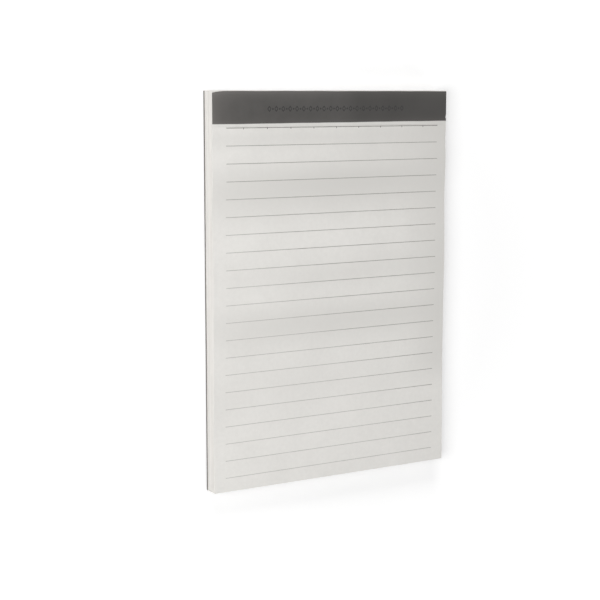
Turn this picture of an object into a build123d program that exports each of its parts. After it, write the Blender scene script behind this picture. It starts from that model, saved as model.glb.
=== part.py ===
from build123d import *
import os

# A ruled A5 writing pad that lies on its backing board with the page up.
# The origin is on the resting surface, under the middle of the pad. +Y points to
# the glued head, +X to the right-hand edge of the page, and +Z up out of the page.
# All sizes are in millimetres.

# Driving sizes: the trimmed sheets and the board behind them
pad_width = 148.0
sheet_height = 210.0
sheet_count = 80
sheet_thickness = 0.1
board_thickness = 1.5

# Driving sizes: the film of padding glue brushed on the head
glue_thickness = 0.4
glue_edge_radius = 0.3

# Driving sizes: the dark strip across the head of the front sheet, laid slightly askew,
# so that it is deepest at its left end
strip_depth = 17.0
strip_skew = 0.6
strip_thickness = 0.2
worn_corner_length = 8.0
worn_corner_drop = 1.0
nick_above_strip_foot = 2.1
nick_radius = 1.5
nick_depth = 0.45

# Driving sizes: the row of tear-off slits through every sheet
perforation_below_strip = 1.2
slit_length = 1.5
slit_width = 0.1
tie_length = 0.5

# Driving sizes: the printed ruling. The sheets were trimmed slightly out of line with the print,
# so each rule starts a little further left than the one above it, by ruling_drift in all
ink_thickness = 0.03
header_rule_below_perforation = 0.72
header_rule_width = 0.42
rule_width = 0.3
rule_pitch = 9.18
left_margin = 8.2
right_margin = 5.8
foot_margin = 7.0
ruling_drift = 1.8
tick_pitch = 14.24
tick_length = 0.8
tick_width = 0.3

# Heights above the resting surface
block_thickness = sheet_count * sheet_thickness
page_z = board_thickness + block_thickness

# Places along the pad, with the glue film counted in its length
pad_length = sheet_height + glue_thickness
foot_y = -pad_length / 2
sheet_head_y = foot_y + sheet_height
sheet_centre_y = foot_y + sheet_height / 2
strip_foot_y = sheet_head_y - strip_depth
strip_right_foot_y = strip_foot_y + strip_skew
perforation_y = strip_foot_y - perforation_below_strip
header_rule_y = perforation_y - header_rule_below_perforation

# Places across the pad
left_x = -pad_width / 2
right_x = pad_width / 2
rule_length = pad_width - left_margin - right_margin
rule_centre_x = left_x + left_margin + rule_length / 2

# How many slits, rules and ticks the sheet has room for
slit_pitch = slit_length + tie_length
slit_count = int((pad_width - tie_length) // slit_pitch)
rule_count = int((header_rule_y - foot_y - foot_margin) // rule_pitch)
tick_count = int(rule_length // tick_pitch)
drift_per_rule = ruling_drift / rule_count


def make_backing_board():
    """The greyboard that stiffens the pad, trimmed in one cut with the sheets."""
    with BuildPart() as board:
        with BuildSketch():
            with Locations((0, sheet_centre_y)):
                Rectangle(pad_width, sheet_height)
        extrude(amount=board_thickness)
    return board.part


def make_paper_block():
    """All the sheets as one block, with each tear-off slit cut down through them."""
    with BuildPart() as block:
        with BuildSketch(Plane.XY.offset(board_thickness)):
            with Locations((0, sheet_centre_y)):
                Rectangle(pad_width, sheet_height)
            with Locations((0, perforation_y)):
                with GridLocations(slit_pitch, slit_pitch, slit_count, 1):
                    Rectangle(slit_length, slit_width, mode=Mode.SUBTRACT)
        extrude(amount=block_thickness)
    return block.part


def make_head_glue():
    """The glue film over the head of the sheets and the board, rounded where it was brushed thin."""
    edge_radius = min(glue_edge_radius, 0.9 * glue_thickness)
    with BuildPart() as film:
        with BuildSketch(Plane.YZ) as section:
            with Locations((sheet_head_y, 0)):
                Rectangle(glue_thickness, page_z, align=(Align.MIN, Align.MIN))
            outer_corners = section.vertices().sort_by(Axis.X)[-2:]
            fillet(outer_corners, radius=edge_radius)
        extrude(amount=pad_width / 2, both=True)
    return film.part


def make_header_strip():
    """The dark strip: askew at the foot, worn away at its left head corner, nicked on the right."""
    worn_start = (left_x, sheet_head_y - worn_corner_drop)
    worn_end = (left_x + worn_corner_length, sheet_head_y)
    nick_centre = (right_x + nick_radius - nick_depth, strip_right_foot_y + nick_above_strip_foot)
    with BuildPart() as strip:
        with BuildSketch(Plane.XY.offset(page_z)):
            with BuildLine():
                Polyline(
                    worn_end,
                    (right_x, sheet_head_y),
                    (right_x, strip_right_foot_y),
                    (left_x, strip_foot_y),
                    worn_start,
                )
                TangentArc(worn_end, worn_start, tangent=(-1, 0))
            make_face()
            with Locations(nick_centre):
                Circle(nick_radius, mode=Mode.SUBTRACT)
        extrude(amount=strip_thickness)
    return strip.part


def make_header_rule():
    """The heavier rule under the strip, with short ticks that hang from it to mark columns."""
    with BuildPart() as rule:
        with BuildSketch(Plane.XY.offset(page_z)):
            with Locations((rule_centre_x, header_rule_y)):
                Rectangle(rule_length, header_rule_width)
                with GridLocations(tick_pitch, tick_pitch, tick_count, 1):
                    Rectangle(tick_width, tick_length, align=(Align.CENTER, Align.MAX))
        extrude(amount=ink_thickness)
    return rule.part


def make_ruled_lines():
    """The writing rules, evenly spaced from the header rule down, drifting left towards the foot."""
    rule_places = [
        (rule_centre_x - number * drift_per_rule, header_rule_y - number * rule_pitch)
        for number in range(1, rule_count + 1)
    ]
    with BuildPart() as rules:
        with BuildSketch(Plane.XY.offset(page_z)):
            with Locations(*rule_places):
                Rectangle(rule_length, rule_width)
        extrude(amount=ink_thickness)
    return rules.part


nodes = {
    "backing_board": make_backing_board(),
    "paper_block": make_paper_block(),
    "head_glue": make_head_glue(),
    "header_strip": make_header_strip(),
    "header_rule": make_header_rule(),
    "ruled_lines": make_ruled_lines(),
}

os.makedirs("parts", exist_ok=True)
for name, solid in nodes.items():
    export_step(solid, f"parts/{name}.step")

print(f"pad {pad_width} x {pad_length} mm, page at {page_z:.2f} mm")
print(f"{slit_count} slits, {rule_count} rules and {tick_count} ticks")
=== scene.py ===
# %% [markdown]
# # A ruled writing pad, dressed over its fixed frame
#
# The frame holds the pad as solids at their real size: a greyboard back, a block of eighty
# sheets, a film of glue on the head, a dark strip and the printed ruling. The pad lies on its
# back with the page up, its glued head towards +Y. The frame's sizes stay as they are, and this
# notebook gives each surface the form and finish that the eye meets: loose sheets that ripple a
# little, cut edges that aren't quite flush, an embossed strip, brushed glue and printed ink.

# %% Load the frame
import bpy
import math
import numpy as np
from mathutils import Matrix, Vector


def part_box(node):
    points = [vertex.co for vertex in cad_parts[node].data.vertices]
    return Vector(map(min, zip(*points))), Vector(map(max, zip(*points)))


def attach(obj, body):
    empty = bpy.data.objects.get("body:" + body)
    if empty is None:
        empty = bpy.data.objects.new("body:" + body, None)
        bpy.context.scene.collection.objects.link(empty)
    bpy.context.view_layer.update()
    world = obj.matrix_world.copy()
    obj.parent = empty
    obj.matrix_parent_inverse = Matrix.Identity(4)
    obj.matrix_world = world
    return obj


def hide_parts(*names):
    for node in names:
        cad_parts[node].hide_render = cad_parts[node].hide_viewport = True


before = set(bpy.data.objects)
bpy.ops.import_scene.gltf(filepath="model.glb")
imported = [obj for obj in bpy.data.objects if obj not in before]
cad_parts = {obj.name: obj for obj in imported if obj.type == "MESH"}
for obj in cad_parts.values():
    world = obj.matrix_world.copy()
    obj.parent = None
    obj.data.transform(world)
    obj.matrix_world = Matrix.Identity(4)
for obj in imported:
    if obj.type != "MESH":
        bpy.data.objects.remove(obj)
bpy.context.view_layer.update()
print("the frame holds:", ", ".join(sorted(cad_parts)))

# %% [markdown]
# ## Sizes that come from the frame
#
# A pad is made of flat, square-cut pieces, so the corners of each solid tell where it starts and
# ends. The places of the rules, the ticks and the slits could be typed again here, but reading
# them from the solids' own corners means that the print and the cuts stay where the frame has them.

# %% Read the pad's places
MM = 0.001
SAME_PLACE = 0.02 * MM


def point_places(piece):
    """The places of a piece's points, in metres: an array with a row to a point."""
    places = np.empty(len(piece.data.vertices) * 3, dtype=np.float32)
    piece.data.vertices.foreach_get("co", places)
    return places.reshape(-1, 3).astype(float)


def node_lines(name, axis):
    """The distinct places along one axis at which a solid has corners, from low to high."""
    places = np.sort(point_places(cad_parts[name])[:, axis])
    return places[np.append(True, np.diff(places) > SAME_PLACE)]


def lowest_at(name, axis, at, wanted_axis):
    """The lowest place along one axis among a solid's corners that lie at a place along another."""
    corners = point_places(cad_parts[name])
    return corners[np.abs(corners[:, axis] - at) < SAME_PLACE, wanted_axis].min()


board_low, board_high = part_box("backing_board")
block_low, block_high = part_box("paper_block")
glue_low, glue_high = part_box("head_glue")
strip_low, strip_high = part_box("header_strip")
left, right = block_low.x, block_high.x
foot, head = block_low.y, block_high.y
page = block_high.z
slit_edges = node_lines("paper_block", 0)[1:-1]
slit_near, slit_far = node_lines("paper_block", 1)[1:-1]
print(f"page {1000 * (right - left):.1f} x {1000 * (head - foot):.1f} mm, {1000 * page:.2f} mm up")
print(f"{len(slit_edges) // 2} slits, {1000 * (head - slit_far):.1f} mm from the head")

# %% [markdown]
# ## Surfaces as arrays
#
# Every piece of a pad is a slab: a front face, a back face and a cut edge between them. So one
# helper is enough for most of them. It takes two grids of points, worked out as whole arrays,
# and closes them with walls wherever a kept cell of the grid has no kept neighbour. Leaving cells
# out makes real openings, which is how the tear-off slits and the separate rules come about.
# Modelling by hand or with modifiers could do it too, but a formula is exact and easy to change.

# %% Make a mesh piece from arrays
WELD = 0.0001 * MM
SHARP_ANGLE = math.radians(35)


def make_piece(name, points, quads, slot, replaced=()):
    """A mesh object from an array of points and an array of four-cornered faces.

    Points closer together than the weld distance become one, and points that no face uses are
    dropped. The piece rides on the pad's one body and takes the place of the solids it replaces.
    """
    cells = np.round(points / WELD).astype(np.int64)
    _, first, merged = np.unique(cells, axis=0, return_index=True, return_inverse=True)
    quads = merged.ravel()[quads]
    used, quads = np.unique(quads, return_inverse=True)
    points = points[first[used]]
    quads = quads.reshape(-1, 4)
    mesh = bpy.data.meshes.new(name)
    mesh.from_pydata(points.tolist(), [], quads.tolist())
    mesh.polygons.foreach_set("use_smooth", np.ones(len(quads), dtype=bool))
    mesh.set_sharp_from_angle(angle=SHARP_ANGLE)
    piece = bpy.data.objects.new(name, mesh)
    bpy.context.scene.collection.objects.link(piece)
    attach(piece, "root")
    if replaced:
        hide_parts(*replaced)
    print(f"{name}: {len(points)} points, {len(quads)} faces")
    return piece


# %% Close two grids of points into a slab
def points_at(x, y, z):
    """Three coordinates, each an array or a plain number, as one array of points."""
    return np.stack(np.broadcast_arrays(x, y, z), axis=-1)


def grid_quads(rows, columns):
    """The four point numbers of each cell of a grid, counter-clockwise where rows run to the right."""
    index = np.arange(rows * columns).reshape(rows, columns)
    return np.stack([index[:-1, :-1], index[1:, :-1], index[1:, 1:], index[:-1, 1:]], axis=-1)


def slab(front, back, kept=None):
    """The points and faces of a closed slab between two grids of points.

    front and back are arrays of rows x columns x 3, seen from the front with rows running to the
    right and columns running up. kept says which cells of the grid are solid. A wall is added on
    every side of a kept cell whose neighbour there isn't kept, so the slab has no open edge.
    """
    rows, columns = front.shape[:2]
    if kept is None:
        kept = np.ones((rows - 1, columns - 1), dtype=bool)
    behind = rows * columns
    corners = grid_quads(rows, columns)
    around = np.pad(kept, 1)
    neighbours = (around[1:-1, :-2], around[2:, 1:-1], around[1:-1, 2:], around[:-2, 1:-1])
    faces = [corners[kept], corners[kept][:, ::-1] + behind]
    for side, neighbour in enumerate(neighbours):
        edge = corners[kept & ~neighbour]
        start, end = edge[:, side], edge[:, (side + 1) % 4]
        faces.append(np.stack([end, start, start + behind, end + behind], axis=-1))
    points = np.concatenate([front.reshape(-1, 3), back.reshape(-1, 3)])
    return points, np.concatenate(faces)


# %% Space grid lines and blend between places
def stepped(lines, longest):
    """The given grid lines with even steps added between them, so that no step is over longest."""
    spans = zip(lines[:-1], lines[1:])
    runs = [np.linspace(a, b, math.ceil((b - a) / longest) + 1)[:-1] for a, b in spans]
    return np.append(np.concatenate(runs), lines[-1])


def smooth_step(low, high, value):
    """0 below low, 1 above high, and an S-shaped rise between them: 3 t squared less 2 t cubed."""
    t = np.clip((value - low) / (high - low), 0, 1)
    return t * t * (3 - 2 * t)


print(f"steps of at most 2 between 0 and 5: {stepped([0, 5], 2).round(2)}")

# %% [markdown]
# ## Colours and shader nodes
#
# Colours are picked as sRGB hex values, as a paint chart gives them, while the shader counts in
# linear light, so one function turns one into the other. Another adds a shader node with its
# settings and its links. A finish is built up in layers, so two more lay one colour over another:
# by a pattern that rises, or by a number stored on the mesh.

# %% Colour and node helpers
def colour(hex_code):
    """An sRGB hex colour as linear red, green and blue, with full alpha.

    A channel is divided by 12.92 near black. Above that it is shifted by 0.055 and raised to the
    power of 2.4.
    """
    channels = [int(hex_code[i:i + 2], 16) / 255 for i in (1, 3, 5)]
    linear = [c / 12.92 if c <= 0.04045 else ((c + 0.055) / 1.055) ** 2.4 for c in channels]
    return (*linear, 1.0)


def set_inputs(tree, node, inputs):
    """Set a node's inputs by socket: linked where the value is another node's output."""
    for socket, value in inputs.items():
        if isinstance(value, bpy.types.NodeSocket):
            tree.links.new(value, node.inputs[socket])
        else:
            node.inputs[socket].default_value = value


def add_node(tree, kind, inputs=None, **settings):
    """One shader node of a kind, with its settings and its inputs."""
    node = tree.nodes.new(kind)
    for key, value in settings.items():
        setattr(node, key, value)
    set_inputs(tree, node, inputs or {})
    return node


def new_material(name):
    """A material with its node tree, its principled shader, and the places on the object."""
    material = bpy.data.materials.new(name)
    material.use_nodes = True
    tree = material.node_tree
    place = add_node(tree, "ShaderNodeTexCoord").outputs["Object"]
    print("material:", name)
    return material, tree, tree.nodes["Principled BSDF"], place


def per_mm(size_mm):
    """The texture scale whose features are about this many millimetres across."""
    return 1 / (size_mm * MM)


# %% Layers of colour
def lay_over(tree, under, over, pattern, starts, ends, most=1.0):
    """One colour laid over another where a pattern rises: none of it at starts, the most at ends.

    The pattern's run from starts to ends becomes a share from 0 to the most, which mixes the two.
    """
    rise = {"Value": pattern, "From Min": starts, "From Max": ends, "To Max": most}
    share = add_node(tree, "ShaderNodeMapRange", rise).outputs["Result"]
    pair = {"Fac": share, "Color1": under, "Color2": over}
    return add_node(tree, "ShaderNodeMixRGB", pair).outputs["Color"]


def lay_by_attribute(tree, under, over, name):
    """One colour laid over another by a number from 0 to 1 that is stored on the mesh."""
    share = add_node(tree, "ShaderNodeAttribute", attribute_name=name).outputs["Fac"]
    pair = {"Fac": share, "Color1": under, "Color2": over}
    return add_node(tree, "ShaderNodeMixRGB", pair).outputs["Color"]


# %% [markdown]
# ## Uncoated writing paper
#
# Writing paper is wood-free uncoated stock: bleached fibres and chalk, pressed but not glazed. The
# eye gets a warm off-white, fully matt, with a faint cloudiness where the fibres lie thicker (the
# papermaker's formation), and a felt-like tooth that only a raking light brings out. Two scales
# of noise give the cloudiness and a very shallow bump gives the tooth.
# The real tooth is finer than 0.1 mm, so it is drawn a few times coarser to show at all. Cellulose
# has an index of about 1.5, and the air between its fibres takes most of the gloss away, so the
# index is set a little lower and the specular level is half the usual one.

# %% Writing paper
FORMATION_MM = 2.2
FORMATION_CLOUD_MM = 19.0
TOOTH_MM = 0.45
TOOTH_DEPTH = 0.03 * MM
PAPER_WHITE = "#EAE8E4"
PAPER_SHADE = "#E2E0DC"
# The colour that the tone's painted shade lays on the paper
TROUGH_SHADE = "#D6D4D0"


def make_writing_paper():
    """Uncoated off-white stock. The tone attribute paints the page's soft grey bands of shade on it."""
    material, tree, shader, place = new_material("uncoated_writing_paper")
    fine = {"Vector": place, "Scale": per_mm(FORMATION_MM), "Detail": 3.0, "Roughness": 0.6}
    broad = {"Vector": place, "Scale": per_mm(FORMATION_CLOUD_MM), "Detail": 2.0, "Roughness": 0.5}
    fine_cloud = add_node(tree, "ShaderNodeTexNoise", fine).outputs["Fac"]
    broad_cloud = add_node(tree, "ShaderNodeTexNoise", broad).outputs["Fac"]
    clouds = {0: fine_cloud, 1: broad_cloud}
    fibres = add_node(tree, "ShaderNodeMath", clouds, operation="ADD").outputs["Value"]
    stock = lay_over(tree, colour(PAPER_SHADE), colour(PAPER_WHITE), fibres, 0.6, 1.4)
    toned = lay_by_attribute(tree, stock, colour(TROUGH_SHADE), "tone")
    tooth = {"Vector": place, "Scale": per_mm(TOOTH_MM), "Detail": 4.0, "Roughness": 0.7}
    felt = add_node(tree, "ShaderNodeTexNoise", tooth).outputs["Fac"]
    relief = {"Height": felt, "Strength": 0.25, "Distance": TOOTH_DEPTH}
    surface = add_node(tree, "ShaderNodeBump", relief).outputs["Normal"]
    set_inputs(tree, shader, {"Base Color": toned, "Normal": surface, "Roughness": 0.9})
    set_inputs(tree, shader, {"IOR": 1.45, "Specular IOR Level": 0.25})
    return material


writing_paper = make_writing_paper()

# %% [markdown]
# ## The front sheet
#
# The sheets are held flat at the glued head and are free at the foot, so the front one ripples
# very slightly. Ripples in a sheet clamped along one edge grow longer away from the clamp. The
# sine of the logarithm of the distance from the head does just that: each half wave is longer
# than the last by a fixed ratio. A cloth simulation would also ripple, but not where it is wanted.
# The tear-off slits are real openings: the grid's own lines run along their edges, and the cells
# inside them are left out.

# %% Height of the loose sheets
WAVE_HEIGHT = 0.33 * MM
WAVE_SINK = 0.11 * MM
WAVE_RATIO = 1.56
WAVE_CREST = 39.5 * MM
WAVE_LEAN = 0.37
WAVE_STARTS = 18.5 * MM
WAVE_IS_FULL = 30 * MM


def wave_phase(x, y):
    """The angle of the ripple: half a turn for each step by the wave ratio away from the head."""
    distance = np.maximum(head - y, WAVE_STARTS)
    half_waves = np.log(distance / WAVE_CREST) / math.log(WAVE_RATIO)
    return math.pi * half_waves + math.pi / 2 + WAVE_LEAN * x / right


def wave_strength(y):
    """0 at the glued head, rising as an S-shaped step to 1 where the sheet is fully loose."""
    return smooth_step(WAVE_STARTS, WAVE_IS_FULL, head - y)


def sheet_wave(x, y):
    """How far the front sheet stands above its flat level: a sine whose waves lengthen down the page.

    The sine is lowered a little, so that the sheets sink more in the troughs than they lift on the
    crests, and it is scaled by how loose the sheet is there.
    """
    return wave_strength(y) * (WAVE_HEIGHT * np.sin(wave_phase(x, y)) - WAVE_SINK)


down_the_middle = 1000 * sheet_wave(0.0, np.linspace(foot, head, 200))
print(f"ripple: {down_the_middle.min():.2f} to {down_the_middle.max():.2f} mm from flat")

# %% Build the front sheet
SHEET_THICKNESS = 0.1 * MM
PAGE_STEP = 1.5 * MM


def slit_cells(x_lines, y_lines):
    """True for the grid cells whose middle lies inside a tear-off slit."""
    x_middle = (x_lines[:-1] + x_lines[1:]) / 2
    y_middle = (y_lines[:-1] + y_lines[1:]) / 2
    across = np.searchsorted(slit_edges, x_middle) % 2 == 1
    along = (y_middle > slit_near) & (y_middle < slit_far)
    return across[:, None] & along[None, :]


def make_front_sheet():
    """The front sheet: a thin slab on the ripple's height, with the slits left open."""
    x_lines = stepped([left, *slit_edges, right], PAGE_STEP)
    y_lines = stepped([foot, slit_near, slit_far, head], PAGE_STEP)
    x, y = np.meshgrid(x_lines, y_lines, indexing="ij")
    z = page + sheet_wave(x, y)
    front = points_at(x, y, z)
    back = points_at(x, y, z - SHEET_THICKNESS)
    points, faces = slab(front, back, ~slit_cells(x_lines, y_lines))
    return make_piece("front_sheet", points, faces, "paper")


front_sheet = make_front_sheet()
front_sheet.data.materials.append(writing_paper)

# %% [markdown]
# The real page has soft grey bands across it, and the light here doesn't make them. The ripple is
# so slight that the lamps change the page by only about one level of 255 on its slopes, and to make
# such bands they would need slopes of some 14 degrees or more. So the bands are painted: a soft
# tone dims the paper by up to 14%, and stays the same under any light. Its values were set by
# comparing greys with the real page's. The broad bands follow the ripple. The rest has no slope in
# the mesh: shorter bands that break up the grey across the middle, a greyer right-hand side down to
# three quarters of the page, and a greyer band close under the strip. The tone is stored on the
# mesh as an attribute, one number to a point, which the paper's material reads.

# %% Painted shade along the ripples
TONE_FADE = 190 * MM
TONE_SIDE_FADE = 0.45
SMALL_CREST = 142 * MM
SMALL_RATIO = 1.147
SMALL_SHARE = 0.8
SMALL_STARTS = (88 * MM, 104 * MM)
SMALL_ENDS = (150 * MM, 168 * MM)


def small_ripple(y):
    """The shorter bands across the middle of the page: 1 where they are lightest, 0 between them.

    They are in the tone alone. The formula is a cosine of the logarithm of the distance from the
    head, faded in and out by S-shaped steps.
    """
    down = np.maximum(head - y, SMALL_STARTS[0])
    half_waves = np.log(down / SMALL_CREST) / math.log(SMALL_RATIO)
    reach = smooth_step(*SMALL_STARTS, down) * (1 - smooth_step(*SMALL_ENDS, down))
    return reach * (0.5 + 0.5 * np.cos(math.pi * half_waves))


def ripple_painted_shade(x, y):
    """How much shade is painted on the page along its ripples: most where they face away from the head.

    It is the cosine of the long ripple's angle, weaker with the distance down the page and with the
    square of the distance sideways. Where the shorter bands are lightest, they take most of it away.
    """
    facing_away = 0.5 - 0.5 * np.cos(wave_phase(x, y))
    down_fade = TONE_FADE / (TONE_FADE + np.maximum(head - y - WAVE_IS_FULL, 0))
    side_fade = 1 - TONE_SIDE_FADE * (x / right) ** 2
    return facing_away * wave_strength(y) * down_fade * side_fade * (1 - SMALL_SHARE * small_ripple(y))


# %% Painted shade at the right and under the strip
# Painted shade down the right-hand side and close under the strip
SIDE_SHADE_TONE = 0.62
SIDE_SHADE_RISE = (40 * MM, right)
SIDE_SHADE_ENDS = (148 * MM, 172 * MM)
HEAD_TONES = (0.20, 0.24)
HEAD_RISES = ((-70 * MM, -45 * MM), (0 * MM, 25 * MM))
HEAD_ENDS = (32 * MM, 44 * MM)


def side_and_strip_painted_shade(x, y):
    """How much shade is painted on the page down its right side and close under the strip.

    It looks as if the sheet rolled away there, but the mesh has no such roll. The grey rises as an
    S-shaped step towards the right edge and ends well above the foot. Under the strip it also rises
    in two such steps, left and middle, and ends soon. Each greys the share of white that the other
    leaves.
    """
    down = head - y
    side = SIDE_SHADE_TONE * smooth_step(*SIDE_SHADE_RISE, x) * (1 - smooth_step(*SIDE_SHADE_ENDS, down))
    rises = sum(tone * smooth_step(*rise, x) for tone, rise in zip(HEAD_TONES, HEAD_RISES))
    under_strip = rises * (1 - smooth_step(*HEAD_ENDS, down))
    return 1 - (1 - side) * (1 - under_strip)


# %% Store the tone
def store(piece, name, values):
    """Keep one number to a point on a piece, as an attribute that a material can read."""
    data = piece.data.attributes.new(name, "FLOAT", "POINT").data
    data.foreach_set("value", values.astype(np.float32))
    print(f"{name} of {piece.name}: {values.min():.2f} to {values.max():.2f}")


def add_tone(piece):
    """Store the tone, the painted shade along the ripples and the rest, each on the white the other
    leaves.
    """
    x, y, _ = point_places(piece).T
    store(piece, "tone", 1 - (1 - ripple_painted_shade(x, y)) * (1 - side_and_strip_painted_shade(x, y)))


add_tone(front_sheet)

# %% [markdown]
# ## The cut edges of the sheets
#
# A pad is cut in one stroke by a guillotine, and then its sheets settle: each stands a few
# hundredths of a millimetre in or out, in small groups. The eye sees fine light and dark lines
# along the side. Each sheet is a ridge with a groove on either side of it, carried round the
# block's outline, so the lines are in the mesh itself. A sideways random walk gives groups of
# neighbours about the same offset, as real sheets have.

# %% Offsets of the sheet edges
SHEETS_BELOW = 79
SHEET_SCATTER = 0.022 * MM
GROUP_WANDER = 0.016 * MM
EDGE_DRIFT = 0.02 * MM
DRIFT_LENGTHS = (60 * MM, 240 * MM)
maker = np.random.default_rng(7)


def edge_offsets(along):
    """How far each sheet stands proud at each place along one side: an array of sheets x places.

    It is a random walk from sheet to sheet, with its drift taken out, plus a scatter of each sheet
    by itself, plus one slow wave along the side with its own length and start for each sheet.
    """
    walk = np.cumsum(maker.normal(0, GROUP_WANDER, SHEETS_BELOW))
    walk = walk - np.linspace(walk[0], walk[-1], SHEETS_BELOW)
    scatter = maker.normal(0, SHEET_SCATTER, SHEETS_BELOW)
    length = maker.uniform(*DRIFT_LENGTHS, SHEETS_BELOW)
    start = maker.uniform(0, 2 * math.pi, SHEETS_BELOW)
    wave = EDGE_DRIFT * np.sin(2 * math.pi * along[None, :] / length[:, None] + start[:, None])
    return (walk + scatter)[:, None] + wave


# %% Ridges and grooves up the side
GROOVE_DEPTH = 0.018 * MM
HAIRLINE = 0.004 * MM
stack_top = page - SHEET_THICKNESS - HAIRLINE


def ridge_levels():
    """Places up the side, from 0 to 1: its two ends, the middle of each sheet and each gap."""
    ridges = (np.arange(SHEETS_BELOW) + 0.5) / SHEETS_BELOW
    grooves = np.arange(1, SHEETS_BELOW) / SHEETS_BELOW
    return np.sort(np.concatenate([[0.0, 1.0], ridges, grooves]))


def at_levels(offsets):
    """Offsets at every level: a sheet's own on its ridge, and the lesser neighbour's less a groove."""
    sheets, places = offsets.shape
    full = np.empty((2 * sheets + 1, places))
    full[1::2] = offsets
    full[2:-1:2] = np.minimum(offsets[:-1], offsets[1:]) - GROOVE_DEPTH
    full[0] = offsets[0] - GROOVE_DEPTH
    full[-1] = offsets[-1] - GROOVE_DEPTH
    return full


def stack_sides(edge_x, edge_y):
    """The points of the ridged sides: an array of levels x places round the outline x 3.

    The left, right and foot sides are pushed outwards by the offsets, and the glued head isn't.
    The front sheet's ripple dies away downwards with the square of the level.
    """
    out_x = at_levels(edge_offsets(edge_y))
    out_y = at_levels(edge_offsets(edge_x))
    push_x = np.sign(edge_x) * (np.abs(edge_x) > right - SAME_PLACE)
    push_y = -1.0 * (edge_y < foot + SAME_PLACE)
    level = ridge_levels()[:, None]
    flat_z = block_low.z + level * (stack_top - block_low.z)
    z = flat_z + level ** 2 * sheet_wave(edge_x, edge_y)
    return points_at(edge_x + push_x * out_x, edge_y + push_y * out_y, z)


print(f"{len(ridge_levels())} levels up the side, for {SHEETS_BELOW} sheets")

# %% [markdown]
# The top and bottom of the stack are plain grids whose outermost points are the ends of that
# profile. Under the row of slits the top has one narrow cut with steep walls. It makes the slits
# look deep, while between them the front sheet covers it.

# %% Build the stack of sheets under the front one
STACK_STEP = 3.0 * MM
CUT_DEPTH = 0.9 * MM
CUT_EASE = 0.03 * MM


def outline_order(rows, columns):
    """Grid positions round the edge of a grid, counter-clockwise seen from above, without repeats.

    They run along the foot, up the right side, back along the head and down the left side.
    """
    index = np.arange(rows * columns).reshape(rows, columns)
    around = np.concatenate([index[:-1, 0], index[-1, :-1], index[:0:-1, -1], index[0, :0:-1]])
    return np.unravel_index(around, index.shape)


def ring_quads(levels, around):
    """Point numbers of the faces between the levels of a closed ring of points, seen from outside."""
    index = np.arange(levels * around).reshape(levels, around)
    following = np.roll(index, -1, axis=1)
    faces = np.stack([index[:-1], following[:-1], following[1:], index[1:]], axis=-1)
    return faces.reshape(-1, 4)


def cut_lines(low, high):
    """Grid lines of a cut with steep walls: its two rims, and its floor just inside them."""
    return low - CUT_EASE, low, high, high + CUT_EASE


def make_sheet_stack():
    """The sheets below the front one: a closed block of ridged sides, a cut top and a flat bottom."""
    x_lines = stepped([left, *cut_lines(slit_edges[0], slit_edges[-1]), right], STACK_STEP)
    y_lines = stepped([foot, *cut_lines(slit_near, slit_far), head], STACK_STEP)
    x, y = np.meshgrid(x_lines, y_lines, indexing="ij")
    in_cut = (x >= slit_edges[0]) & (x <= slit_edges[-1]) & (y >= slit_near) & (y <= slit_far)
    i, j = outline_order(*x.shape)
    sides = stack_sides(x[i, j], y[i, j])
    top = points_at(x, y, stack_top + sheet_wave(x, y) - CUT_DEPTH * in_cut)
    bottom = points_at(x, y, block_low.z)
    top[i, j] = sides[-1]
    bottom[i, j] = sides[0]
    points = np.concatenate([surface.reshape(-1, 3) for surface in (sides, top, bottom)])
    cells = grid_quads(*x.shape).reshape(-1, 4)
    top_cells = cells + len(points) - 2 * x.size
    bottom_cells = cells[:, ::-1] + len(points) - x.size
    faces = np.concatenate([ring_quads(*sides.shape[:2]), top_cells, bottom_cells])
    return make_piece("sheet_stack", points, faces, "paper", ["paper_block"])


sheet_stack = make_sheet_stack()

# %% [markdown]
# ## Guillotined paper edges
#
# A block of cut sheets is the same stock seen end on. The blade leaves the fibres burnished in
# some sheets and slightly open in others, so the side shows thin lines along its length, a shade
# apart. Noise that is squeezed along the height and drawn out along the edge makes such lines.
# A line is as thick as a few sheets, because single sheets are finer than the picture can show.

# %% Paper edges
EDGE_LINE_MM = 0.42
EDGE_RUN_MM = 60.0
EDGE_DEPTH = 0.05 * MM
EDGE_WHITE = "#E5E3DF"
EDGE_SHADE = "#D5D2CE"


def make_paper_edges():
    """Cut edges of the stacked sheets: fine lines along the side, a shade lighter or darker."""
    material, tree, shader, place = new_material("guillotined_paper_edges")
    stretch = {"Vector": place, "Scale": (per_mm(EDGE_RUN_MM), per_mm(EDGE_RUN_MM), per_mm(EDGE_LINE_MM))}
    drawn_out = add_node(tree, "ShaderNodeMapping", stretch).outputs["Vector"]
    fine_lines = {"Vector": drawn_out, "Scale": 1.0, "Detail": 4.0, "Roughness": 0.65}
    lines = add_node(tree, "ShaderNodeTexNoise", fine_lines).outputs["Fac"]
    stock = lay_over(tree, colour(EDGE_SHADE), colour(EDGE_WHITE), lines, 0.34, 0.66)
    relief = {"Height": lines, "Strength": 0.35, "Distance": EDGE_DEPTH}
    surface = add_node(tree, "ShaderNodeBump", relief).outputs["Normal"]
    set_inputs(tree, shader, {"Base Color": stock, "Normal": surface, "Roughness": 0.85})
    set_inputs(tree, shader, {"IOR": 1.45, "Specular IOR Level": 0.25})
    return material


sheet_stack.data.materials.append(make_paper_edges())

# %% [markdown]
# ## The greyboard back
#
# The back is greyboard: waste paper pulped and pressed, unbleached and undyed, so it keeps flecks of
# old print. It is cut with the sheets, and the blade rolls its two arrises over by about a tenth of
# a millimetre. A slab whose outermost grid lines are lowered at the front and raised at the back
# makes that eased edge, as a bevel modifier would.

# %% Build the board
BOARD_EASE = 0.12 * MM
BOARD_STEP = 12 * MM


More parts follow.
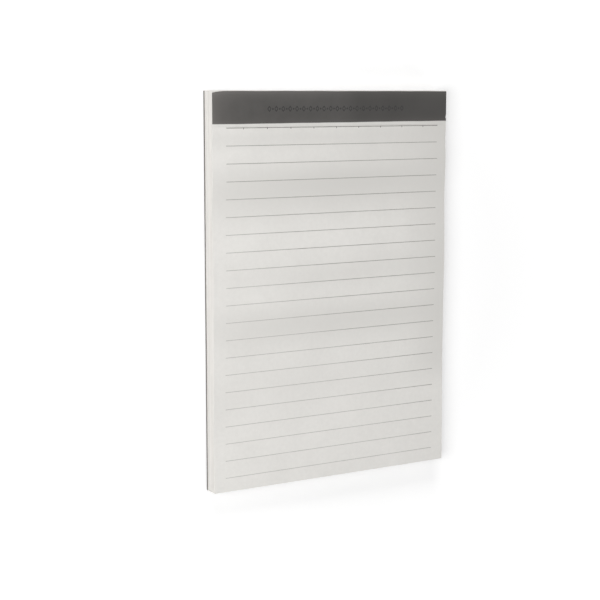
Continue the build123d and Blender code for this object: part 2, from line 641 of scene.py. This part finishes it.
def eased_slab(low, high, ease, step):
    """A flat slab between two corners, with eased arrises.

    Its front and back step in by the ease less the distance from the nearest edge, and never by
    less than 0.
    """
    x_lines = stepped([low.x, low.x + ease, high.x - ease, high.x], step)
    y_lines = stepped([low.y, low.y + ease, high.y - ease, high.y], step)
    x, y = np.meshgrid(x_lines, y_lines, indexing="ij")
    from_edge = np.minimum.reduce([x - low.x, high.x - x, y - low.y, high.y - y])
    inset = ease * (1 - np.clip(from_edge / ease, 0, 1))
    return slab(points_at(x, y, high.z - inset), points_at(x, y, low.z + inset))


board_points, board_faces = eased_slab(board_low, board_high, BOARD_EASE, BOARD_STEP)
board = make_piece("greyboard_back", board_points, board_faces, "greyboard", ["backing_board"])

# %% [markdown]
# Greyboard is a mid grey with a slightly warm cast, dead matt, with long pale fibres and small
# dark specks in it. Noise drawn out along the board gives the fibres, and the peaks of a second
# noise give the specks. Real fibres are finer than the picture shows, so they are drawn coarser.

# %% Greyboard
FLECK_MM = 0.9
FIBRE_MM = 0.5
FIBRE_STRETCH = 5.0
FIBRE_DEPTH = 0.06 * MM
BOARD_GREY = "#777471"
BOARD_PALE = "#8B8885"
BOARD_DARK = "#4E4B49"


def make_greyboard():
    """Recycled board: mid grey with pale drawn-out fibres, dark flecks and an open, matt surface."""
    material, tree, shader, place = new_material("recycled_greyboard")
    stretch = {"Vector": place, "Scale": (1.0, 1 / FIBRE_STRETCH, 1.0)}
    drawn_out = add_node(tree, "ShaderNodeMapping", stretch).outputs["Vector"]
    pulp = {"Vector": drawn_out, "Scale": per_mm(FIBRE_MM), "Detail": 5.0, "Roughness": 0.65}
    fibre = add_node(tree, "ShaderNodeTexNoise", pulp).outputs["Fac"]
    base = lay_over(tree, colour(BOARD_GREY), colour(BOARD_PALE), fibre, 0.42, 0.66)
    old_print = {"Vector": place, "Scale": per_mm(FLECK_MM), "Detail": 2.0, "Roughness": 0.8}
    fleck = add_node(tree, "ShaderNodeTexNoise", old_print).outputs["Fac"]
    flecked = lay_over(tree, base, colour(BOARD_DARK), fleck, 0.6, 0.72)
    relief = {"Height": fibre, "Strength": 0.5, "Distance": FIBRE_DEPTH}
    surface = add_node(tree, "ShaderNodeBump", relief).outputs["Normal"]
    set_inputs(tree, shader, {"Base Color": flecked, "Normal": surface, "Roughness": 0.95})
    set_inputs(tree, shader, {"IOR": 1.45, "Specular IOR Level": 0.2})
    return material


board.data.materials.append(make_greyboard())

# %% [markdown]
# ## The padding glue on the head
#
# Pads are stacked, squeezed and brushed along the head with white padding glue. It dries to a thin
# rubbery skin. The brush leaves long low strokes, the skin thins towards its rims, and the sheets
# beneath show through as faint ridges, drawn wider than a sheet so that they show at all. The film
# is a slab that stands on edge: its grid runs along the head and up it, and its thickness is the
# sum of those three effects. A bump alone would not change its outline, and this does.

# %% Brush strokes in the glue
STROKES = 9
STROKE_SLANTS = (-0.03, 0.03)
STROKE_HEIGHTS = (1.2 * MM, 5.0 * MM)
STROKE_LENGTHS = (25 * MM, 90 * MM)
STROKE_SWELL = 0.4


def brush_strokes(along, up):
    """Long low strokes along the head: the mean of sines up it, with random slants and starts.

    Each sine is stronger and weaker along the head by a second sine, whose weight is the swell.
    """
    total = np.zeros_like(along)
    for _ in range(STROKES):
        slant = maker.uniform(*STROKE_SLANTS)
        height = maker.uniform(*STROKE_HEIGHTS)
        length = maker.uniform(*STROKE_LENGTHS)
        start, swell_start = maker.uniform(0, 2 * math.pi, 2)
        stroke = np.sin(2 * math.pi * (up - slant * along) / height + start)
        swell = np.sin(2 * math.pi * along / length + swell_start)
        total += stroke * (1 - STROKE_SWELL + STROKE_SWELL * swell)
    return total / STROKES


# %% Build the glue film
GLUE_STEP = 1.4 * MM
GLUE_LEVELS = 72
GLUE_RIM = 0.35 * MM
SKIN_SHARE = 0.85
RIM_SHARE = 0.25
STROKE_DEPTH = 0.11 * MM
RIDGE_DEPTH = 0.012 * MM
RIDGE_PITCH = 0.8 * MM


def glue_skin(along, up):
    """How thick the glue is: a rounded rim, plus brush strokes, plus a cosine up it for the sheets.

    The rim rises as a quarter circle, from a quarter of the skin's thickness to all of it. The skin
    is a little thinner than the frame's film, so that the strokes stay near the film's face.
    """
    from_ends = np.minimum(along - glue_low.x, glue_high.x - along)
    from_rim = np.minimum(from_ends, np.minimum(up - glue_low.z, glue_high.z - up))
    rim = np.sqrt(1 - (1 - np.clip(from_rim / GLUE_RIM, 0, 1)) ** 2)
    skin = SKIN_SHARE * (glue_high.y - glue_low.y) * (RIM_SHARE + (1 - RIM_SHARE) * rim)
    ridges = np.cos(2 * math.pi * up / RIDGE_PITCH)
    return skin + rim * (STROKE_DEPTH * brush_strokes(along, up) + RIDGE_DEPTH * ridges)


def make_glue_film():
    """The glue film: a slab on edge over the head, from the sheets' cut ends to the skin's face."""
    rims = [glue_low.x, glue_low.x + GLUE_RIM, glue_high.x - GLUE_RIM, glue_high.x]
    x_lines = stepped(rims, GLUE_STEP)[::-1]
    z_lines = np.linspace(glue_low.z, glue_high.z, GLUE_LEVELS)
    along, up = np.meshgrid(x_lines, z_lines, indexing="ij")
    front = points_at(along, glue_low.y + glue_skin(along, up), up)
    back = points_at(along, glue_low.y, up)
    return make_piece("glue_film", *slab(front, back), "padding_glue", ["head_glue"])


glue_film = make_glue_film()

# %% [markdown]
# Dry padding glue is a polymer skin, PVA-like: white, slightly milky, with a soft satin gleam on
# the brushed tops. Its index is about 1.46. A little light gets into it before it comes back, so it
# has a short subsurface reach. A faint bump along the head carries strokes finer than the mesh.

# %% Padding glue
BRISTLE_MM = 0.5
BRISTLE_RUN_MM = 14.0
BRISTLE_DEPTH = 0.05 * MM
GLUE_REACH = 0.4 * MM
GLUE_WHITE = "#F0EEEB"
GLUE_MILKY = "#EAE7E3"


def make_padding_glue():
    """A dried white polymer skin with bristle marks drawn out along the head."""
    material, tree, shader, place = new_material("brushed_padding_glue")
    marks = (per_mm(BRISTLE_RUN_MM), per_mm(BRISTLE_MM), per_mm(BRISTLE_MM))
    drawn_out = add_node(tree, "ShaderNodeMapping", {"Vector": place, "Scale": marks}).outputs["Vector"]
    bristles = {"Vector": drawn_out, "Scale": 1.0, "Detail": 3.0, "Roughness": 0.6}
    bristle = add_node(tree, "ShaderNodeTexNoise", bristles).outputs["Fac"]
    milky = lay_over(tree, colour(GLUE_MILKY), colour(GLUE_WHITE), bristle, 0.35, 0.65)
    satin = {"Value": bristle, "From Min": 0.3, "From Max": 0.7, "To Min": 0.5, "To Max": 0.38}
    gleam = add_node(tree, "ShaderNodeMapRange", satin).outputs["Result"]
    relief = {"Height": bristle, "Strength": 0.25, "Distance": BRISTLE_DEPTH}
    surface = add_node(tree, "ShaderNodeBump", relief).outputs["Normal"]
    set_inputs(tree, shader, {"Base Color": milky, "Roughness": gleam, "Normal": surface})
    set_inputs(tree, shader, {"IOR": 1.46, "Subsurface Weight": 0.15})
    set_inputs(tree, shader, {"Subsurface Radius": (1.0, 0.9, 0.8), "Subsurface Scale": GLUE_REACH})
    return material


glue_film.data.materials.append(make_padding_glue())

# %% [markdown]
# ## The strip across the head
#
# The strip is dyed embossing paper, laid by hand over the head of the front sheet. Its outline
# isn't a plain rectangle: the foot edge runs slightly askew, the left head corner is rubbed away
# along a flat arc, the right edge has a small nick, and no edge is dead straight. A grid that is
# stretched to fit that outline keeps its cells even, which an outline cut out of a square grid
# would not.

# %% Outline of the strip
WORN_LENGTH = 8.0 * MM
WORN_DROP = 1.0 * MM
NICK_UP = 2.1 * MM
NICK_RADIUS = 1.5 * MM
NICK_DEPTH = 0.45 * MM
NICK_REACH = 5.0 * MM
HEAD_WANDER = 0.07 * MM
FOOT_WANDER = 0.05 * MM
HEAD_BEND_START = 0.6
FOOT_BEND_START = 4.0
LONG_BEND = 61 * MM
SHORT_BEND = 23 * MM
strip_head = strip_high.y
left_foot = strip_low.y
right_foot = lowest_at("header_strip", 0, right, 1)
print(f"strip {1000 * (strip_head - left_foot):.1f} mm deep at its left end,",
      f"{1000 * (strip_head - right_foot):.1f} mm at its right")


def worn_drop(x):
    """How far the head edge has dropped at x: the depth of a flat arc that ends level with it."""
    radius = (WORN_LENGTH ** 2 + WORN_DROP ** 2) / (2 * WORN_DROP)
    into_wear = np.clip(left + WORN_LENGTH - x, 0, WORN_LENGTH)
    return radius - np.sqrt(radius ** 2 - into_wear ** 2)


def bends(x, start):
    """A wandering line between 0 and 2: one plus the mean of a long and a short sine."""
    long_wave = np.sin(2 * math.pi * x / LONG_BEND + start)
    short_wave = np.sin(2 * math.pi * x / SHORT_BEND + 2 * start)
    return 1 + (long_wave + short_wave) / 2


def head_edge(x):
    """The strip's head edge: the pad's head less the worn corner and a slight wander."""
    return strip_head - worn_drop(x) - HEAD_WANDER * bends(x, HEAD_BEND_START)


def foot_edge(x):
    """The strip's foot edge: a straight line from corner to corner plus a slight wander."""
    straight = left_foot + (right_foot - left_foot) * (x - left) / (right - left)
    return straight + FOOT_WANDER * bends(x, FOOT_BEND_START)


def nick_in(y):
    """How far the right edge is cut back at y: a circle that reaches in from outside the edge."""
    from_middle = np.minimum(np.abs(y - right_foot - NICK_UP), NICK_RADIUS)
    reach = np.sqrt(NICK_RADIUS ** 2 - from_middle ** 2)
    return np.maximum(reach - (NICK_RADIUS - NICK_DEPTH), 0)


# %% [markdown]
# Such strips are stamped from the front. Here the stamp is a plain ornament, a row of lozenges
# with a bead between each two, pressed in by less than a tenth of a millimetre. The depth is a
# formula of the place on the strip, and the grid is fine only where the row runs.

# %% Stamped ornament
ROW_LENGTH = 85.0 * MM
ROW_MIDDLE_X = 1.6 * MM
ROW_FROM_HEAD = 9.3 * MM
MOTIF_PITCH = 2.1 * MM
MOTIF_HEIGHT = 2.5 * MM
LOZENGE_WIDTH = 2.1 * MM
BEAD_RADIUS = 0.5 * MM
LINE_WIDTH = 0.5 * MM
STAMP_DEPTH = 0.09 * MM
STAMP_WALL = 0.1 * MM
row_y = strip_head - ROW_FROM_HEAD


def stamp_depth(x, y):
    """How deep the stamp is: lozenge outlines at even steps of the row, beads at odd ones.

    A lozenge's outline is where the sum of the two distances from its middle, each as a share of
    its half size, is near 1. A bead is a disc. Both fall off over the width of the stamp's wall.
    """
    steps = (x - ROW_MIDDLE_X) / MOTIF_PITCH
    nearest = np.round(steps)
    across = np.abs(steps - nearest) * MOTIF_PITCH
    up = np.abs(y - row_y)
    share = 2 * across / LOZENGE_WIDTH + 2 * up / MOTIF_HEIGHT
    slant = math.hypot(2 / LOZENGE_WIDTH, 2 / MOTIF_HEIGHT)
    from_line = np.abs(share - 1) / slant - LINE_WIDTH / 2
    from_bead = np.hypot(across, up) - BEAD_RADIUS
    outside = np.where(nearest % 2 == 0, from_line, from_bead)
    pressed = 1 - smooth_step(-STAMP_WALL / 2, STAMP_WALL / 2, outside)
    in_row = np.abs(nearest * MOTIF_PITCH) <= ROW_LENGTH / 2
    return STAMP_DEPTH * pressed * in_row


print(f"{2 * int(ROW_LENGTH / 2 / MOTIF_PITCH) + 1} lozenges and beads in the row")

# %% Grid of the strip
STRIP_STEP = 2.0 * MM
NICK_STEP = 0.5 * MM
STAMP_STEP = 0.13 * MM
STRIP_EASE = 0.12 * MM
row_start = ROW_MIDDLE_X - ROW_LENGTH / 2 - MOTIF_PITCH / 2
row_end = ROW_MIDDLE_X + ROW_LENGTH / 2 + MOTIF_PITCH / 2
band_half = 0.5 * MOTIF_HEIGHT + LINE_WIDTH + STAMP_WALL
band_low, band_high = row_y - band_half, row_y + band_half


def strip_grid():
    """The strip's flat grid: fine steps where the stamped row runs, and coarse ones elsewhere."""
    before_row = stepped([left, left + STRIP_EASE, row_start], STRIP_STEP)
    row = np.arange(row_start, row_end, STAMP_STEP)
    after_row = stepped([row_end, right - NICK_REACH, right - STRIP_EASE, right], STRIP_STEP)
    below = stepped([left_foot, left_foot + STRIP_EASE, band_low], NICK_STEP)
    band = np.arange(band_low, band_high, STAMP_STEP)
    above = stepped([band_high, strip_head - STRIP_EASE, strip_head], STRIP_STEP)
    x_lines = np.unique(np.concatenate([before_row[:-1], row, after_row]))
    y_lines = np.unique(np.concatenate([below[:-1], band, above]))
    return np.meshgrid(x_lines, y_lines, indexing="ij")


def fit_outline(x, y):
    """The grid's points moved to fit the worn outline.

    Above the stamped band a point takes its share of the head edge's shift, and below it its share
    of the foot edge's. Near the right end it moves in by an S-shaped share of the nick.
    """
    head_share = np.clip((y - band_high) / (strip_head - band_high), 0, 1)
    foot_share = np.clip((band_low - y) / (band_low - left_foot), 0, 1)
    y = y + head_share * (head_edge(x) - strip_head) + foot_share * (foot_edge(x) - left_foot)
    return x - nick_in(y) * smooth_step(right - NICK_REACH, right, x), y


print(f"stamped band {2000 * band_half:.1f} mm high")

# %% Build the strip
def make_strip():
    """The strip: a grid fitted to its outline, with eased rims, pressed down where the stamp was.

    A rim drops by half the ease times the square of the share of the ease that is still to go.
    """
    x, y = fit_outline(*strip_grid())
    from_sides = np.minimum(x - left, right - nick_in(y) - x)
    from_ends = np.minimum(y - foot_edge(x), head_edge(x) - y)
    from_edge = np.clip(np.minimum(from_sides, from_ends), 0, STRIP_EASE)
    eased = 0.5 * STRIP_EASE * (1 - from_edge / STRIP_EASE) ** 2
    front = points_at(x, y, strip_high.z - eased - stamp_depth(x, y))
    back = points_at(x, y, strip_low.z + HAIRLINE)
    return make_piece("stamped_strip", *slab(front, back), "strip_paper", ["header_strip"])


strip = make_strip()

# %% [markdown]
# ## Dyed embossing paper
#
# The strip's stock is dyed in the mass, a warm charcoal, and calendered with a fine leather-like
# grain. The eye gets a dark surface with a soft sheen and tiny pebbles in it. The dye is a little
# clouded, and the right half is darker in broad patches. Handling has rubbed it paler at the left
# end and along the head and foot edges, and it is darkest where the stamp pressed it. Voronoi cells
# make the pebbles, two scales of noise make the clouds and the darker patches, and a roughness just
# over a half gives the sheen.

# %% Strip paper
PEBBLE_MM = 0.55
PEBBLE_DEPTH = 0.06 * MM
DYE_CLOUD_MM = 7.0
DARK_PATCH_MM = 24.0
DARKENING_STARTS = 2 * MM
DARKENING_IS_FULL = 15 * MM
STRIP_DYE = "#3E3C3A"
STRIP_LIGHT = "#474543"
RIGHT_HALF_DARK = "#32302E"
RUBBED_GREY = "#6E6B68"
PRESSED_DYE = "#1C1B1A"


def right_half_darkening(tree, place):
    """How much darker the strip is made: a rise across the middle of the strip times a broad noise."""
    along = add_node(tree, "ShaderNodeSeparateXYZ", {"Vector": place}).outputs["X"]
    rise = {"Value": along, "From Min": DARKENING_STARTS, "From Max": DARKENING_IS_FULL}
    right_half = add_node(tree, "ShaderNodeMapRange", rise).outputs["Result"]
    dark_patches = {"Vector": place, "Scale": per_mm(DARK_PATCH_MM), "Detail": 1.0, "Roughness": 0.5}
    dark_patch = add_node(tree, "ShaderNodeTexNoise", dark_patches).outputs["Fac"]
    depths = {"Value": dark_patch, "From Min": 0.35, "From Max": 0.65, "To Min": 0.6}
    depth = add_node(tree, "ShaderNodeMapRange", depths).outputs["Result"]
    pair = {0: right_half, 1: depth}
    return add_node(tree, "ShaderNodeMath", pair, operation="MULTIPLY").outputs["Value"]


def make_strip_paper():
    """Dyed and grained paper: charcoal, softly clouded, with a satin sheen and rubbed high spots."""
    material, tree, shader, place = new_material("dyed_embossing_paper")
    clouds = {"Vector": place, "Scale": per_mm(DYE_CLOUD_MM), "Detail": 5.0, "Roughness": 0.6}
    cloud = add_node(tree, "ShaderNodeTexNoise", clouds).outputs["Fac"]
    even = lay_over(tree, colour(STRIP_DYE), colour(STRIP_LIGHT), cloud, 0.3, 0.7)
    # The strip is made darker on its right half, in broad patches
    dyes = {"Fac": right_half_darkening(tree, place), "Color1": even, "Color2": colour(RIGHT_HALF_DARK)}
    dyed = add_node(tree, "ShaderNodeMixRGB", dyes).outputs["Color"]
    rubbed = lay_by_attribute(tree, dyed, colour(RUBBED_GREY), "wear")
    stamped = lay_by_attribute(tree, rubbed, colour(PRESSED_DYE), "pressed")
    satin = {"Value": cloud, "From Min": 0.3, "From Max": 0.7, "To Min": 0.52, "To Max": 0.62}
    sheen = add_node(tree, "ShaderNodeMapRange", satin).outputs["Result"]
    pebbles = {"Vector": place, "Scale": per_mm(PEBBLE_MM), "Randomness": 0.9}
    pebble = add_node(tree, "ShaderNodeTexVoronoi", pebbles, feature="SMOOTH_F1").outputs["Distance"]
    relief = {"Height": pebble, "Strength": 0.35, "Distance": PEBBLE_DEPTH}
    surface = add_node(tree, "ShaderNodeBump", relief).outputs["Normal"]
    set_inputs(tree, shader, {"Base Color": stamped, "Roughness": sheen, "Normal": surface})
    set_inputs(tree, shader, {"IOR": 1.5})
    return material


strip.data.materials.append(make_strip_paper())

# %% Wear of the strip
LEFT_RUB = 0.54
LEFT_RUB_REACH = 8.5 * MM
HEAD_RUB_LEFT = 0.60
HEAD_RUB_RIGHT = 0.29
HEAD_RUB_REACH = 2.2 * MM
HEAD_RUB_CHANGES = (-20 * MM, 15 * MM)
FOOT_RUB = 0.24
FOOT_RUB_REACH = 1.3 * MM


def add_wear(piece):
    """Store how rubbed and how pressed each point is.

    Wear falls off from the left end, the head edge and the foot edge, each as an exponential with
    its own weight and reach, and the three are added. The head edge is rubbed more on its left half
    than on its right. Pressed is the stamp's depth as a share of the deepest.
    """
    x, y, _ = point_places(piece).T
    on_right = smooth_step(*HEAD_RUB_CHANGES, x)
    head_weight = HEAD_RUB_LEFT + (HEAD_RUB_RIGHT - HEAD_RUB_LEFT) * on_right
    left_rub = LEFT_RUB * np.exp((left - x) / LEFT_RUB_REACH)
    head_rub = head_weight * np.exp((y - strip_head) / HEAD_RUB_REACH)
    foot_rub = FOOT_RUB * np.exp((foot_edge(x) - y) / FOOT_RUB_REACH)
    store(piece, "wear", np.clip(left_rub + head_rub + foot_rub, 0, 1))
    store(piece, "pressed", stamp_depth(x, y) / STAMP_DEPTH)


add_wear(strip)

# %% [markdown]
# ## The printed ruling
#
# The page is ruled in grey: one heavier rule under the strip, with short ticks that mark columns,
# and twenty fine ones down to the foot. A film of ink is a few microns thick, so it could be drawn in
# the paper's material, but as pieces of their own the rules keep the frame's places and separate
# finish. All the rules come from one grid: its lines are the edges of the rules, and only the cells
# between the two edges of a rule are kept. The sheets were trimmed slightly out of line with the
# print, so the grid leans with the rules' ends. It lies on the rippled sheet.

# %% A film of ink on the front sheet
INK_THICKNESS = 0.02 * MM
INK_SPREAD = 0.012 * MM
RULE_STEP = 2.5 * MM


def ink_slab(x_lines, y_lines, kept, lean=0.0):
    """A film of ink on the front sheet: cells of the grid that are kept, with softly uneven edges.

    Each row of the grid is moved sideways by its distance below the top row times the lean.
    """
    x, y = np.meshgrid(x_lines, y_lines, indexing="ij")
    x = x + lean * (y - y_lines[-1])
    y = y + maker.normal(0, INK_SPREAD, y.shape)
    paper = page + sheet_wave(x, y)
    return slab(points_at(x, y, paper + INK_THICKNESS), points_at(x, y, paper), kept)


# %% Build the ruling
def make_ruled_lines():
    """The fine rules: every second gap between the rule edges is a rule."""
    y_lines = node_lines("ruled_lines", 1)
    first_start = lowest_at("ruled_lines", 1, y_lines[-1], 0)
    last_start = lowest_at("ruled_lines", 1, y_lines[0], 0)
    drift = first_start - last_start
    x_lines = stepped([first_start, node_lines("ruled_lines", 0)[-1]], RULE_STEP)
    kept = np.zeros((len(x_lines) - 1, len(y_lines) - 1), dtype=bool)
    kept[:, ::2] = True
    print(f"{kept[0].sum()} fine rules, the last {1000 * drift:.1f} mm further left")
    points, faces = ink_slab(x_lines, y_lines, kept, drift / (y_lines[-1] - y_lines[0]))
    return make_piece("fine_rules", points, faces, "grey_ink", ["ruled_lines"])


def in_tick(x):
    """True at the places along the head rule that lie between the two edges of a tick."""
    tick_edges = node_lines("header_rule", 0)[1:-1]
    return np.searchsorted(tick_edges, x) % 2 == 1


def make_header_rule():
    """The heavier rule: its upper row of cells runs all along, its lower one only at the ticks."""
    x_lines = stepped(node_lines("header_rule", 0), RULE_STEP)
    y_lines = node_lines("header_rule", 1)
    marked = in_tick((x_lines[:-1] + x_lines[1:]) / 2)
    kept = np.stack([marked, np.ones_like(marked)], axis=-1)
    print(f"{marked.sum()} ticks")
    return make_piece("heavy_rule", *ink_slab(x_lines, y_lines, kept), "dark_ink", ["header_rule"])


fine_rules = make_ruled_lines()
heavy_rule = make_header_rule()

# %% [markdown]
# Ruling ink on uncoated stock sinks in and dries matt. It covers the tops of the fibres and misses
# the pits between them, so up close a grey rule is broken by specks of paper. Mixing the ink's
# colour with the paper's by a fine noise gives that. The press laid less ink towards the left foot
# of the page, which a number stored on the rules carries, and the ticks were printed twice, so
# their faces have a second, darker ink.

# %% Ruling inks
INK_SPECK_MM = 0.22
MOST_MISSED = 0.6
GREY_INK = "#979490"
DARK_INK = "#8E8B87"
TWICE_PRINTED_INK = "#4A4845"


def make_ruling_ink(name, ink_hex):
    """Matt offset ink on tooth: the ink's grey with specks where the paper shows through."""
    material, tree, shader, place = new_material(name)
    pits = {"Vector": place, "Scale": per_mm(INK_SPECK_MM), "Detail": 2.0, "Roughness": 0.6}
    speck = add_node(tree, "ShaderNodeTexNoise", pits).outputs["Fac"]
    printed = lay_over(tree, colour(ink_hex), colour(PAPER_SHADE), speck, 0.56, 0.72, MOST_MISSED)
    covered = lay_by_attribute(tree, colour(PAPER_SHADE), printed, "inked")
    set_inputs(tree, shader, {"Base Color": covered, "Roughness": 0.85})
    set_inputs(tree, shader, {"IOR": 1.5, "Specular IOR Level": 0.25})
    return material


fine_rules.data.materials.append(make_ruling_ink("grey_ruling_ink", GREY_INK))
heavy_rule.data.materials.append(make_ruling_ink("dark_ruling_ink", DARK_INK))
heavy_rule.data.materials.append(make_ruling_ink("twice_printed_ruling_ink", TWICE_PRINTED_INK))

# %% Fade the ink and ink the ticks twice
INK_FAINTEST = 0.60
INK_FADES = (85 * MM, 165 * MM)


def add_inking(piece):
    """Store how strongly each point is inked: fully at the head, less towards the left and the foot.

    The loss is an S-shaped step of the distance from the head less the place across the page.
    """
    x, y, _ = point_places(piece).T
    faded = smooth_step(*INK_FADES, head - y - x)
    store(piece, "inked", 1 - (1 - INK_FAINTEST) * faded)


def ink_ticks(piece):
    """Give the faces inside the ticks' width the piece's second ink."""
    middles = np.empty(len(piece.data.polygons) * 3, dtype=np.float32)
    piece.data.polygons.foreach_get("center", middles)
    inked_twice = in_tick(middles[::3])
    piece.data.polygons.foreach_set("material_index", inked_twice.astype(np.int32))
    print(f"{inked_twice.sum()} faces of {piece.name} are inked twice")


add_inking(fine_rules)
add_inking(heavy_rule)
ink_ticks(heavy_rule)

# %% [markdown]
# ## The table top
#
# The pad lies on a plain white sweep. Its floor is a matt white that takes the pad's shadow. It also
# glows a little, and more with the distance from the pad, which lifts the bare floor to white
# without putting more light on the pad: only rays from the camera, or ones mirrored or let through
# on their way to it, see that glow.

# %% Rays that show the backdrop
def seen_directly(tree):
    """The output that is 1 for rays that show a thing to the eye, straight or by gloss or glass.

    It is the greatest of Light Path's camera, glossy and transmission outputs.
    """
    path = add_node(tree, "ShaderNodeLightPath").outputs
    pair = {0: path["Is Camera Ray"], 1: path["Is Glossy Ray"]}
    either = add_node(tree, "ShaderNodeMath", pair, operation="MAXIMUM").outputs["Value"]
    three = {0: either, 1: path["Is Transmission Ray"]}
    return add_node(tree, "ShaderNodeMath", three, operation="MAXIMUM").outputs["Value"]


# %% Floor
FLOOR_HALF = 2.5
FLOOR_LINES = 3
FLOOR_BELOW = 0.02 * MM
FLOOR_WHITE = "#E8E8E8"
NEAR_LIFT = 0.32
FAR_LIFT = 0.85
LIFT_STARTS = 0.12
LIFT_IS_FULL = 0.60


def make_sweep_white():
    """Matt white with a glow that rises with the distance from the pad, for rays to the eye only."""
    material = bpy.data.materials.new("matt_white_sweep")
    material.use_nodes = True
    tree = material.node_tree
    tree.nodes.clear()
    matt = add_node(tree, "ShaderNodeBsdfDiffuse", {"Color": colour(FLOOR_WHITE)}).outputs["BSDF"]
    place = add_node(tree, "ShaderNodeTexCoord").outputs["Object"]
    distance = add_node(tree, "ShaderNodeVectorMath", {0: place}, operation="LENGTH").outputs["Value"]
    rise = {"Value": distance, "From Min": LIFT_STARTS, "From Max": LIFT_IS_FULL}
    rise.update({"To Min": NEAR_LIFT, "To Max": FAR_LIFT})
    wanted = add_node(tree, "ShaderNodeMapRange", rise).outputs["Result"]
    pair = {0: seen_directly(tree), 1: wanted}
    lift = add_node(tree, "ShaderNodeMath", pair, operation="MULTIPLY").outputs["Value"]
    glow = add_node(tree, "ShaderNodeEmission", {"Strength": lift}).outputs["Emission"]
    both = add_node(tree, "ShaderNodeAddShader", {0: matt, 1: glow}).outputs["Shader"]
    add_node(tree, "ShaderNodeOutputMaterial", {"Surface": both})
    return material


def make_floor():
    """A flat square of table top, a hair below the pad's back."""
    lines = np.linspace(-FLOOR_HALF, FLOOR_HALF, FLOOR_LINES)
    x, y = np.meshgrid(lines, lines, indexing="ij")
    points = points_at(x, y, -FLOOR_BELOW).reshape(-1, 3)
    quads = grid_quads(FLOOR_LINES, FLOOR_LINES).reshape(-1, 4)
    mesh = bpy.data.meshes.new("floor")
    mesh.from_pydata(points.tolist(), [], quads.tolist())
    mesh.materials.append(make_sweep_white())
    floor = bpy.data.objects.new("floor", mesh)
    bpy.context.scene.collection.objects.link(floor)
    print(f"floor {2 * FLOOR_HALF:.1f} m square")


make_floor()

# %% [markdown]
# ## The light
#
# Three soft square lamps light the pad, as in a plain studio. The one at the left is the nearest, so
# the left side is the brightest face and the page falls off gently to the right. The one beyond the
# head rakes along the page, and the one past the right foot fills the shadows. On the page's slopes
# those two largely cancel each other, so the ripples hardly show by their light, and the painted
# tone shows them instead. The white surroundings light the rest, at a quarter of what the eye sees
# of them.

# %% Lamps
# Each lamp's place in metres, the length of its side in metres, and its power in watts
LAMP_AIM = Vector((0.0, 0.0, 0.0))
LAMPS = {
    "left_lamp": ((-0.62, 0.00, 0.54), 0.40, 3.75),
    "head_lamp": ((-0.30, 1.50, 0.70), 0.70, 12.5),
    "fill_lamp": ((0.90, -1.20, 0.60), 0.90, 10.5),
}


def add_lamp(name, place, size, power):
    """A square soft lamp at a place, turned to face the pad."""
    light = bpy.data.lights.new(name, "AREA")
    light.shape = "SQUARE"
    light.size = size
    light.energy = power
    lamp = bpy.data.objects.new(name, light)
    lamp.location = place
    beam = LAMP_AIM - Vector(place)
    lamp.rotation_euler = beam.to_track_quat("-Z", "Y").to_euler()
    bpy.context.scene.collection.objects.link(lamp)
    print(f"{name}: {power} W, {beam.length:.2f} m away")


for lamp_name, (lamp_place, lamp_size, lamp_power) in LAMPS.items():
    add_lamp(lamp_name, lamp_place, lamp_size, lamp_power)

# %% World
WORLD_LIGHT = 0.25


def make_world():
    """An even white sky that lights at a plain level and is pure white behind the floor."""
    world = bpy.data.worlds.new("white_room")
    world.use_nodes = True
    tree = world.node_tree
    level = {"Value": seen_directly(tree), "To Min": WORLD_LIGHT}
    strength = add_node(tree, "ShaderNodeMapRange", level).outputs["Result"]
    sky = {"Color": colour("#FFFFFF"), "Strength": strength}
    set_inputs(tree, tree.nodes["Background"], sky)
    bpy.context.scene.world = world
    print(f"{world.name}: lights at {WORLD_LIGHT}, and is seen at 1")


make_world()

# %% [markdown]
# ## The camera
#
# The camera looks down on the page from the left, about 58 degrees above the table, with the head
# of the pad up in the picture. Its place and lens were solved from where the page's corners and
# rules lie in the picture.

# %% Camera
CAMERA_PLACE = Vector((-0.4306, 0.1026, 0.6777))
CAMERA_AIM = Vector((-0.0217, -0.0060, 0.0095))
FOCAL_PIXELS = 1478.2
IMAGE_PIXELS = 600
SENSOR_MM = 36.0


def make_camera():
    """A camera at its place, aimed at the page, with the pad's head side up in the picture."""
    data = bpy.data.cameras.new("camera")
    data.sensor_width = SENSOR_MM
    data.lens = FOCAL_PIXELS / IMAGE_PIXELS * SENSOR_MM
    camera = bpy.data.objects.new("camera", data)
    back = (CAMERA_PLACE - CAMERA_AIM).normalized()
    across = Vector((0.0, 1.0, 0.0)).cross(back).normalized()
    upward = back.cross(across)
    turn = Matrix((across, upward, back)).transposed().to_4x4()
    camera.matrix_world = Matrix.Translation(CAMERA_PLACE) @ turn
    bpy.context.scene.collection.objects.link(camera)
    bpy.context.scene.camera = camera
    print(f"camera {(CAMERA_PLACE - CAMERA_AIM).length:.2f} m from its aim, {data.lens:.1f} mm lens")


make_camera()
bpy.context.scene.view_settings.view_transform = "Standard"
